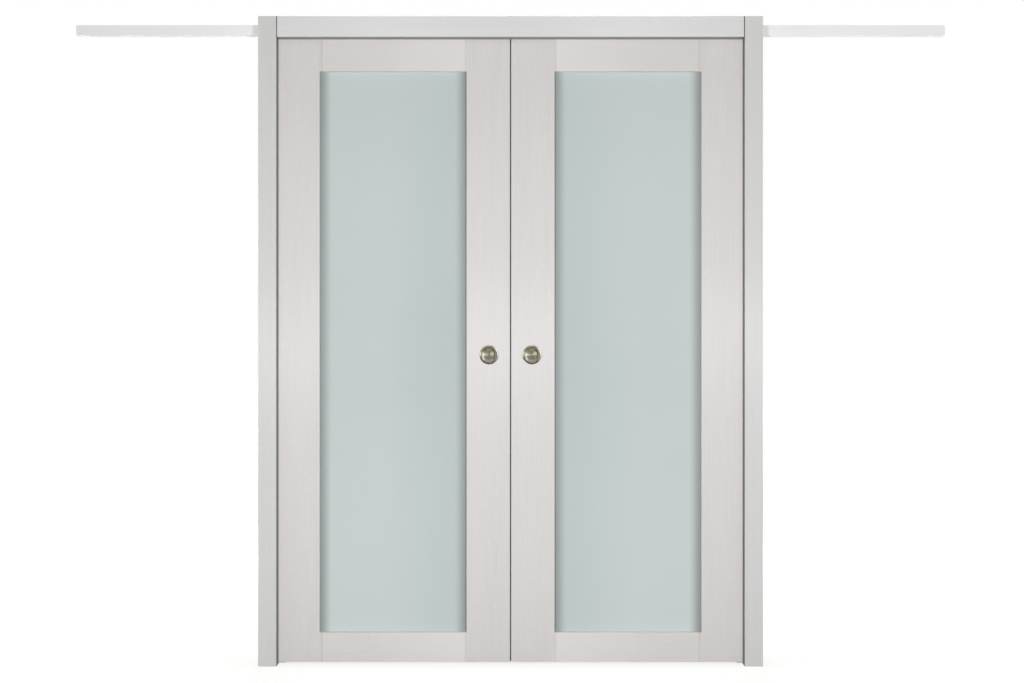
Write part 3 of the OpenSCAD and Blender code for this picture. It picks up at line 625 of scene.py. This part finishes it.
def make_nuts(side, bore, zinc):
    """Two nuts with turned-off corners, in place of a leaf's plain ones."""
    bm = bmesh.new()
    node = f"{side}_lock_nuts"
    low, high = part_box(node)
    flats, axes = hexagon_places(node)
    for axis in axes:
        ends = [circle_ring(axis, bore, z) for z in (low.z, high.z)]
        outside = hexagon_rings(axis, flats, low.z, high.z)
        skin_rings(bm, ends[:1] + outside + ends[::-1], closed_ends=False)
    name = f"{side}_hexagon_nuts"
    piece = mesh_object(name, finished_mesh(name, bm, sharp_angle=25))
    dress_piece(piece, f"{side}_leaf", "zinc_steel", zinc, node)


def make_bolts(side, shank, head, zinc):
    """Two threaded suspension bolts, in place of a leaf's plain ones."""
    bm = bmesh.new()
    node = f"{side}_suspension_bolts"
    low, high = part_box(node)
    flats, axes = hexagon_places(node)
    for axis in axes:
        thread = thread_rings(axis, shank, low.z, high.z - head)
        skin_rings(bm, thread + hexagon_rings(axis, flats, high.z - head, high.z))
    name = f"{side}_threaded_bolts"
    piece = mesh_object(name, finished_mesh(name, bm, sharp_angle=25))
    dress_piece(piece, f"{side}_leaf", "zinc_steel", zinc, node)


def make_fasteners(zinc):
    """The nuts and bolts that the leaves hang by."""
    shank = 4 * MM
    clearance = 0.05 * MM
    head = 4.5 * MM
    for side in SIDES:
        make_nuts(side, shank + clearance, zinc)
        make_bolts(side, shank, head, zinc)


# Brush seals

SEAL_CARRIER = 4 * MM
SEAL_CARRIER_DEPTH = 3 * MM
SEAL_INPUTS = {
    "Base": "NodeSocketGeometry", "Start": "NodeSocketVector", "End": "NodeSocketVector",
    "Count": "NodeSocketInt", "Out": "NodeSocketVector", "Spread": "NodeSocketVector",
    "Length": "NodeSocketFloat", "Root": "NodeSocketFloat", "Tip": "NodeSocketFloat",
    "Lean": "NodeSocketVector", "Seed": "NodeSocketInt", "Finish": "NodeSocketMaterial",
}


def pile_tree():
    """Tufts of pile at random places along a straight line, joined to the strip that comes in."""
    tree = bpy.data.node_groups.new("pile_run", "GeometryNodeTree")
    for name, kind in SEAL_INPUTS.items():
        tree.interface.new_socket(name, in_out="INPUT", socket_type=kind)
    tree.interface.new_socket("Seal", in_out="OUTPUT", socket_type="NodeSocketGeometry")
    given = tree.nodes.new("NodeGroupInput").outputs

    def either_way(size, seed):
        """A random vector from minus size to size."""
        turned = {"Vector": size, "Scale": -1.0}
        lowest = add(tree, "ShaderNodeVectorMath", turned, operation="SCALE")
        return add(tree, "FunctionNodeRandomValue", {"Min": lowest, "Max": size, "Seed": seed},
                   data_type="FLOAT_VECTOR")

    line = add(tree, "GeometryNodeMeshLine", {
        "Count": given["Count"], "Start Location": given["Start"], "Offset": given["End"],
    }, mode="END_POINTS", count_mode="TOTAL")
    roots = add(tree, "GeometryNodeSetPosition", {
        "Geometry": line, "Offset": either_way(given["Spread"], given["Seed"]),
    })
    next_seed = add(tree, "ShaderNodeMath", [given["Seed"], 1.0], operation="ADD")
    last_seed = add(tree, "ShaderNodeMath", [given["Seed"], 2.0], operation="ADD")
    lean = either_way(given["Lean"], next_seed)
    way = add(tree, "ShaderNodeVectorMath", [given["Out"], lean], operation="ADD")
    turn = add(tree, "FunctionNodeAlignRotationToVector", {"Vector": way}, axis="Z")
    size = add(tree, "FunctionNodeRandomValue", {
        "Min": (0.75, 0.75, 0.9), "Max": (1.15, 1.15, 1.0), "Seed": last_seed,
    }, data_type="FLOAT_VECTOR")
    tuft = add(tree, "GeometryNodeMeshCone", {
        "Vertices": 4, "Side Segments": 1, "Radius Top": given["Tip"], "Radius Bottom": given["Root"],
        "Depth": given["Length"],
    })
    tufts = add(tree, "GeometryNodeInstanceOnPoints", {
        "Points": roots, "Instance": tuft, "Rotation": turn, "Scale": size,
    })
    whole = add(tree, "GeometryNodeJoinGeometry", [(given["Base"], tufts)])
    plain = add(tree, "GeometryNodeRealizeInstances", [whole])
    finished = add(tree, "GeometryNodeSetMaterial", {"Geometry": plain, "Material": given["Finish"]})
    add(tree, "NodeGroupOutput", [finished])
    return tree


def strip(bm, start, end, out, section):
    """Bar from start to end with a section of [sideways, outwards] points."""
    side = (end - start).cross(out).normalized()
    rings = [[base + side * a + out * b for a, b in section] for base in (start, end)]
    skin_rings(bm, rings)


def brush_seal(name, body, node, runs, pitch, tree, pile):
    """Brush seals on one body: carriers, woven cores and tufts, one run after another."""
    bm = bmesh.new()
    half = SEAL_CARRIER / 2
    root_half = 0.32 * half
    tip_half = 0.22 * half
    sunk = -0.1 * MM
    for start, end, out, length in runs:
        carrier = [(-half, -SEAL_CARRIER_DEPTH), (half, -SEAL_CARRIER_DEPTH), (half, 0), (-half, 0)]
        strip(bm, start, end, out, carrier)
        # The pile is too dense to see into, so a core fills it.
        core = [(-root_half, sunk), (root_half, sunk), (tip_half, length), (-tip_half, length)]
        strip(bm, start, end, out, core)
    made = mesh_object(name, finished_mesh(name, bm, sharp_angle=30))
    keys = {item.name: item.identifier for item in tree.interface.items_tree if item.in_out == "INPUT"}
    for number, (start, end, out, length) in enumerate(runs):
        side = (end - start).cross(out).normalized()
        spread = Vector([abs(c) for c in side]) * 0.3 * SEAL_CARRIER
        count = round((end - start).length / pitch)
        values = {
            "Start": start, "End": end, "Count": count, "Out": out, "Spread": spread,
            "Length": length, "Root": 0.55 * MM, "Tip": 0.22 * MM, "Lean": (0.1, 0.1, 0.1),
            "Seed": 10 * number, "Finish": pile,
        }
        modifier = made.modifiers.new(f"run_{number}", "NODES")
        modifier.node_group = tree
        for key, value in values.items():
            modifier[keys[key]] = value
    graph = bpy.context.evaluated_depsgraph_get()
    mesh = bpy.data.meshes.new_from_object(made.evaluated_get(graph))
    made.modifiers.clear()
    made.data = mesh
    dress_piece(made, body, "brush_pile", pile, node)


def frame_seal_runs():
    """Runs of the seals in the four jamb edges and in the two head jambs."""
    seals_low, seals_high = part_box("frame_brush_seals")
    jamb_low, jamb_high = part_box("right_jamb_front")
    head_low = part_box("head_jamb_front")[0]
    leaf_low, leaf_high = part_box("right_trailing_stile")
    tip_clearance = 0.3 * MM
    length = leaf_low.y - jamb_high.y - tip_clearance
    x = seals_high.x - SEAL_CARRIER / 2
    z = head_low.z + (x - jamb_low.x)
    runs = []
    for toward in (-1, 1):
        face = -toward * jamb_high.y
        out = Vector((0, -toward, 0))
        for side in (-1, 1):
            foot = Vector((side * x, face, seals_low.z))
            top = Vector((side * x, face, leaf_high.z))
            runs.append((foot, top, out, length))
        ends = [Vector((side * jamb_low.x, face, z)) for side in (-1, 1)]
        runs.append((ends[0], ends[1], out, length))
    return runs


def meeting_seal_runs(side):
    """The run of the seal in a leaf's meeting edge."""
    low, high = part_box(f"{side}_meeting_seal")
    sign = -1 if side == "left" else 1
    tip = min(abs(low.x), abs(high.x))
    root = max(abs(low.x), abs(high.x)) - SEAL_CARRIER_DEPTH
    foot = Vector((sign * root, 0, low.z))
    top = Vector((sign * root, 0, high.z))
    return [(foot, top, Vector((-sign, 0, 0)), root - tip)]


def make_seals(pile):
    """The brush seals of the frame and of both leaves, in place of the plain ones."""
    frame_pitch = 1.0 * MM
    leaf_pitch = 0.8 * MM
    tree = pile_tree()
    node = "frame_brush_seals"
    brush_seal("frame_pile_seals", "surround", node, frame_seal_runs(), frame_pitch, tree, pile)
    for side in SIDES:
        node = f"{side}_meeting_seal"
        runs = meeting_seal_runs(side)
        brush_seal(f"{side}_pile_seal", f"{side}_leaf", node, runs, leaf_pitch, tree, pile)


# Stage, light and camera


def seen_rays(tree):
    """1 on rays from the camera, and on those that a gloss or a glass sends on, and else 0."""
    camera = add(tree, "ShaderNodeLightPath", output="Is Camera Ray")
    rays = camera.node.outputs
    either = add(tree, "ShaderNodeMath", [camera, rays["Is Glossy Ray"]], operation="MAXIMUM")
    return add(tree, "ShaderNodeMath", [either, rays["Is Transmission Ray"]], operation="MAXIMUM")


def make_world():
    """White where it is seen, and a low even fill where it lights."""
    fill = 0.12
    world = bpy.data.worlds.new("studio")
    bpy.context.scene.world = world
    world.use_nodes = True
    tree = world.node_tree
    tree.nodes.clear()
    strength = add(tree, "ShaderNodeMapRange", [seen_rays(tree), 0.0, 1.0, fill, 1.0])
    shader = add(tree, "ShaderNodeBackground", {"Color": "#ffffff", "Strength": strength})
    add(tree, "ShaderNodeOutputWorld", {"Surface": shader})


def make_floor():
    """Pale floor that is lifted to white where it is seen, and keeps the door's soft shadow."""
    reach = 40.0
    lit_reach = 1.6
    dark_reach = 4.0
    near_lift = 0.75
    material = new_material("pale_floor")
    tree = material.node_tree
    matt = add(tree, "ShaderNodeBsdfDiffuse", {"Color": "#949492"})
    coords = add(tree, "ShaderNodeTexCoord", output="Object")
    distance = add(tree, "ShaderNodeVectorMath", [coords], output="Value", operation="LENGTH")
    # Past the reach of the lamps the floor would be grey, so the lift grows to white there.
    lift = add(tree, "ShaderNodeMapRange", [distance, lit_reach, dark_reach, near_lift, 1.0])
    strength = add(tree, "ShaderNodeMath", [seen_rays(tree), lift], operation="MULTIPLY")
    glow = add(tree, "ShaderNodeEmission", {"Color": "#ffffff", "Strength": strength})
    both = add(tree, "ShaderNodeAddShader", [matt, glow])
    add(tree, "ShaderNodeOutputMaterial", {"Surface": both})
    bm = bmesh.new()
    bmesh.ops.create_grid(bm, x_segments=1, y_segments=1, size=reach)
    mesh = bpy.data.meshes.new("floor")
    bm.to_mesh(mesh)
    bm.free()
    mesh.materials.append(material)
    mesh_object("floor", mesh)


def softbox(name, place, aim, width, height, power):
    """Rectangular lamp that faces aim and doesn't show to the camera."""
    lamp = bpy.data.lights.new(name, "AREA")
    lamp.shape = "RECTANGLE"
    lamp.size = width
    lamp.size_y = height
    lamp.energy = power
    made = bpy.data.objects.new(name, lamp)
    bpy.context.scene.collection.objects.link(made)
    made.location = place
    made.rotation_euler = (Vector(aim) - Vector(place)).to_track_quat("-Z", "Y").to_euler()
    made.visible_camera = False
    return made


def face_lamps(face, toward):
    """Five lamps before the front (toward is -1) or the back (1) of the door.

    The even pair aims outwards, so that the outer stiles get as much light as the inner ones. It
    hangs at mid height, where the leaves are brightest, and is hidden from gloss. The sheen pair is
    weaker, and gives the foil its soft sheen. The key only shows in gloss, high on the right.
    """
    mid = 1.05
    distance = 3.3
    right_lift = 0.09
    even_across, even_aim, even_power = 0.74, 4.0, 67.5
    sheen_across, sheen_aim, sheen_power = 0.62, 0.4, 11
    for across in (-1, 1):
        on_right = -toward * across
        height = mid + right_lift * on_right
        place = (across * even_across, toward * distance, height)
        aim = (across * even_aim, 0, mid)
        name = f"{face}_{across}_even"
        even = softbox(name, place, aim, width=0.5, height=0.4, power=even_power)
        even.visible_glossy = False
        place = (across * sheen_across, toward * distance, height)
        aim = (across * sheen_aim, 0, mid)
        name = f"{face}_{across}_sheen"
        softbox(name, place, aim, width=0.25, height=0.3, power=sheen_power)
    place = (-toward * 2.2, toward * 2.2, 2.9)
    key = softbox(f"{face}_key", place, (0, 0, 1.0), width=0.5, height=0.5, power=18)
    key.visible_diffuse = False


def make_lights():
    """Five lamps for each face of the door, a narrow one at each of its ends, and one overhead.

    The lamps at the ends are narrow, so that the jambs keep their light off the leaves.
    """
    face_lamps("front", -1)
    face_lamps("back", 1)
    for across in (-1, 1):
        place = (across * 3.6, 0, 1.2)
        softbox(f"end_{across}", place, (0, 0, 1.1), width=0.16, height=1.4, power=45)
    softbox("overhead", (0, 0, 4.6), (0, 0, 0), width=1.8, height=1.2, power=40)


def make_camera():
    """Camera at the photograph's place: square to the door, a little above half its height."""
    place = (0.0047, -5.587, 1.0484)
    camera = bpy.data.cameras.new("camera")
    camera.lens = 60.1
    camera.sensor_width = 36
    camera.clip_end = 200
    made = bpy.data.objects.new("camera", camera)
    bpy.context.scene.collection.objects.link(made)
    made.location = place
    made.rotation_euler = (math.radians(90), 0, 0)
    bpy.context.scene.camera = made


# Finishes of the CAD nodes

UPRIGHT_WORDS = ("stile", "casing_left", "casing_right", "left_jamb", "right_jamb")


def painted_edge_shades():
    """Edges of the foiled boards that carry painted shade, for each kind of board.

    The inner edges of jambs and casings are painted grey, as painted shade that makes the dark line
    round the leaves. The meeting edges of the leading stiles are painted dark, as painted shade in
    the gap between the leaves. The head casing's cut ends are painted dark, as painted shade in its
    joints with the upright ones, so these show as lines. The leaf rails' outer ends are a shade
    darker, as painted shade of the joint, which shows as a soft seam.
    """
    skin = 0.5 * MM
    sealed_width = 2.4 * MM
    seam_width = 5 * MM
    head_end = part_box("front_casing_head")[1].x
    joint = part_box("right_trailing_stile")[0].x
    return {
        "stile": [("X", 0.0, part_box("right_leading_stile")[0].x + skin, "#8a8783")],
        "leaf_rail": [("X", joint - seam_width, joint + skin, "#d1cecc")],
        "leg": [("X", 0.0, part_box("front_casing_right")[0].x + skin, "#9e9c98")],
        "head": [("Z", 0.0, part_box("front_casing_head")[0].z + skin, "#9e9c98"),
                 ("X", head_end - sealed_width, head_end + skin, "#4a4845")],
        "side_jamb": [("X", 0.0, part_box("right_jamb_front")[0].x + skin, "#73716c")],
        "head_jamb": [("Z", 0.0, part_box("head_jamb_front")[0].z + skin, "#908e88")],
    }


def make_foils():
    """The ash foil of leaves, casings and jambs, one for each way of the grain."""
    leaf_tones = ("#dad7d6", "#d5d1d0", "#e9e7e6")
    rail_tones = ("#dcd9d7", "#d7d3d1", "#ebe9e7")
    leg_tones = ("#d3d2d1", "#cececc", "#e3e2e1")
    # Painted light: the head casing's tones are paler than the legs', on the same foil.
    head_tones_with_painted_light = ("#dfdede", "#dad9d9", "#eceaeb")
    # Painted light: the leaf rails grow paler towards the meeting stiles.
    painted_light_inwards = ("X", 450 * MM, 150 * MM, "#e6e3e2")
    edges = painted_edge_shades()
    leaf = {
        "Z": ash_foil("leaf_ash_foil_upright", "Z", leaf_tones, gloss=0.5, bands=edges["stile"]),
        "X": ash_foil("leaf_ash_foil_level", "X", rail_tones, gloss=0.3, bands=edges["leaf_rail"],
                      painted_light_fade=painted_light_inwards),
    }
    casing = {
        "Z": ash_foil("casing_ash_foil_upright", "Z", leg_tones, gloss=0.65, bands=edges["leg"]),
        "X": ash_foil("casing_ash_foil_level", "X", head_tones_with_painted_light, gloss=1.0, bands=edges["head"]),
    }
    jamb = {
        "Z": ash_foil("jamb_ash_foil_upright", "Z", leg_tones, gloss=0.5, bands=edges["side_jamb"]),
        "X": ash_foil("jamb_ash_foil_level", "X", leg_tones, gloss=0.5, bands=edges["head_jamb"]),
    }
    return {"leaf_foil": leaf, "casing_foil": casing, "jamb_foil": jamb}


def make_finishes():
    """A material for each slot of the record, or two for a foil, one for each way of its grain."""
    finishes = make_foils()
    finishes.update({
        "bare_timber": planed_timber("planed_pine", "#e3c99c", "#c9a06a", ring=5 * MM),
        "frosted_glass": etched_glass("right_glass"),
        "glazing_rubber": clear_rubber(),
        "satin_nickel": spun_nickel("right_front_pull"),
        "rail_coat": powder_coat("white_powder_coat", "#f6f6f4", "#f2f2f0"),
        "zinc_steel": zinc_plate(),
        "buffer_rubber": black_rubber(),
        "brush_pile": pile_fibre(),
        "guide_nylon": moulded_plastic("white_nylon", "#ebebe6", "#e2e2dc", 0.42, 0.15),
        "carriage_metal": powder_coat("dark_grey_coat", "#47494c", "#3d3f42"),
        "wheel_plastic": moulded_plastic("natural_acetal", "#e6e3d8", "#dcd8cb", 0.35, 0.2),
    })
    return finishes


def dress_nodes(finishes):
    """Gives each CAD node the finish of its slot."""
    for row in frame["record"]["subparts"]:
        finish = finishes["jamb_foil" if "jamb" in row["node"] else row["material_slot"]]
        if isinstance(finish, dict):
            upright = any(word in row["node"] for word in UPRIGHT_WORDS)
            finish = finish["Z" if upright else "X"]
        for slot in frame["nodes"][row["node"]].material_slots:
            slot.material = finish


make_camera()
make_world()
make_floor()
make_lights()
finishes = make_finishes()
dress_nodes(finishes)
make_pulls(finishes["satin_nickel"])
make_fasteners(finishes["zinc_steel"])
make_seals(finishes["brush_pile"])
bpy.context.scene.view_settings.view_transform = "Standard"
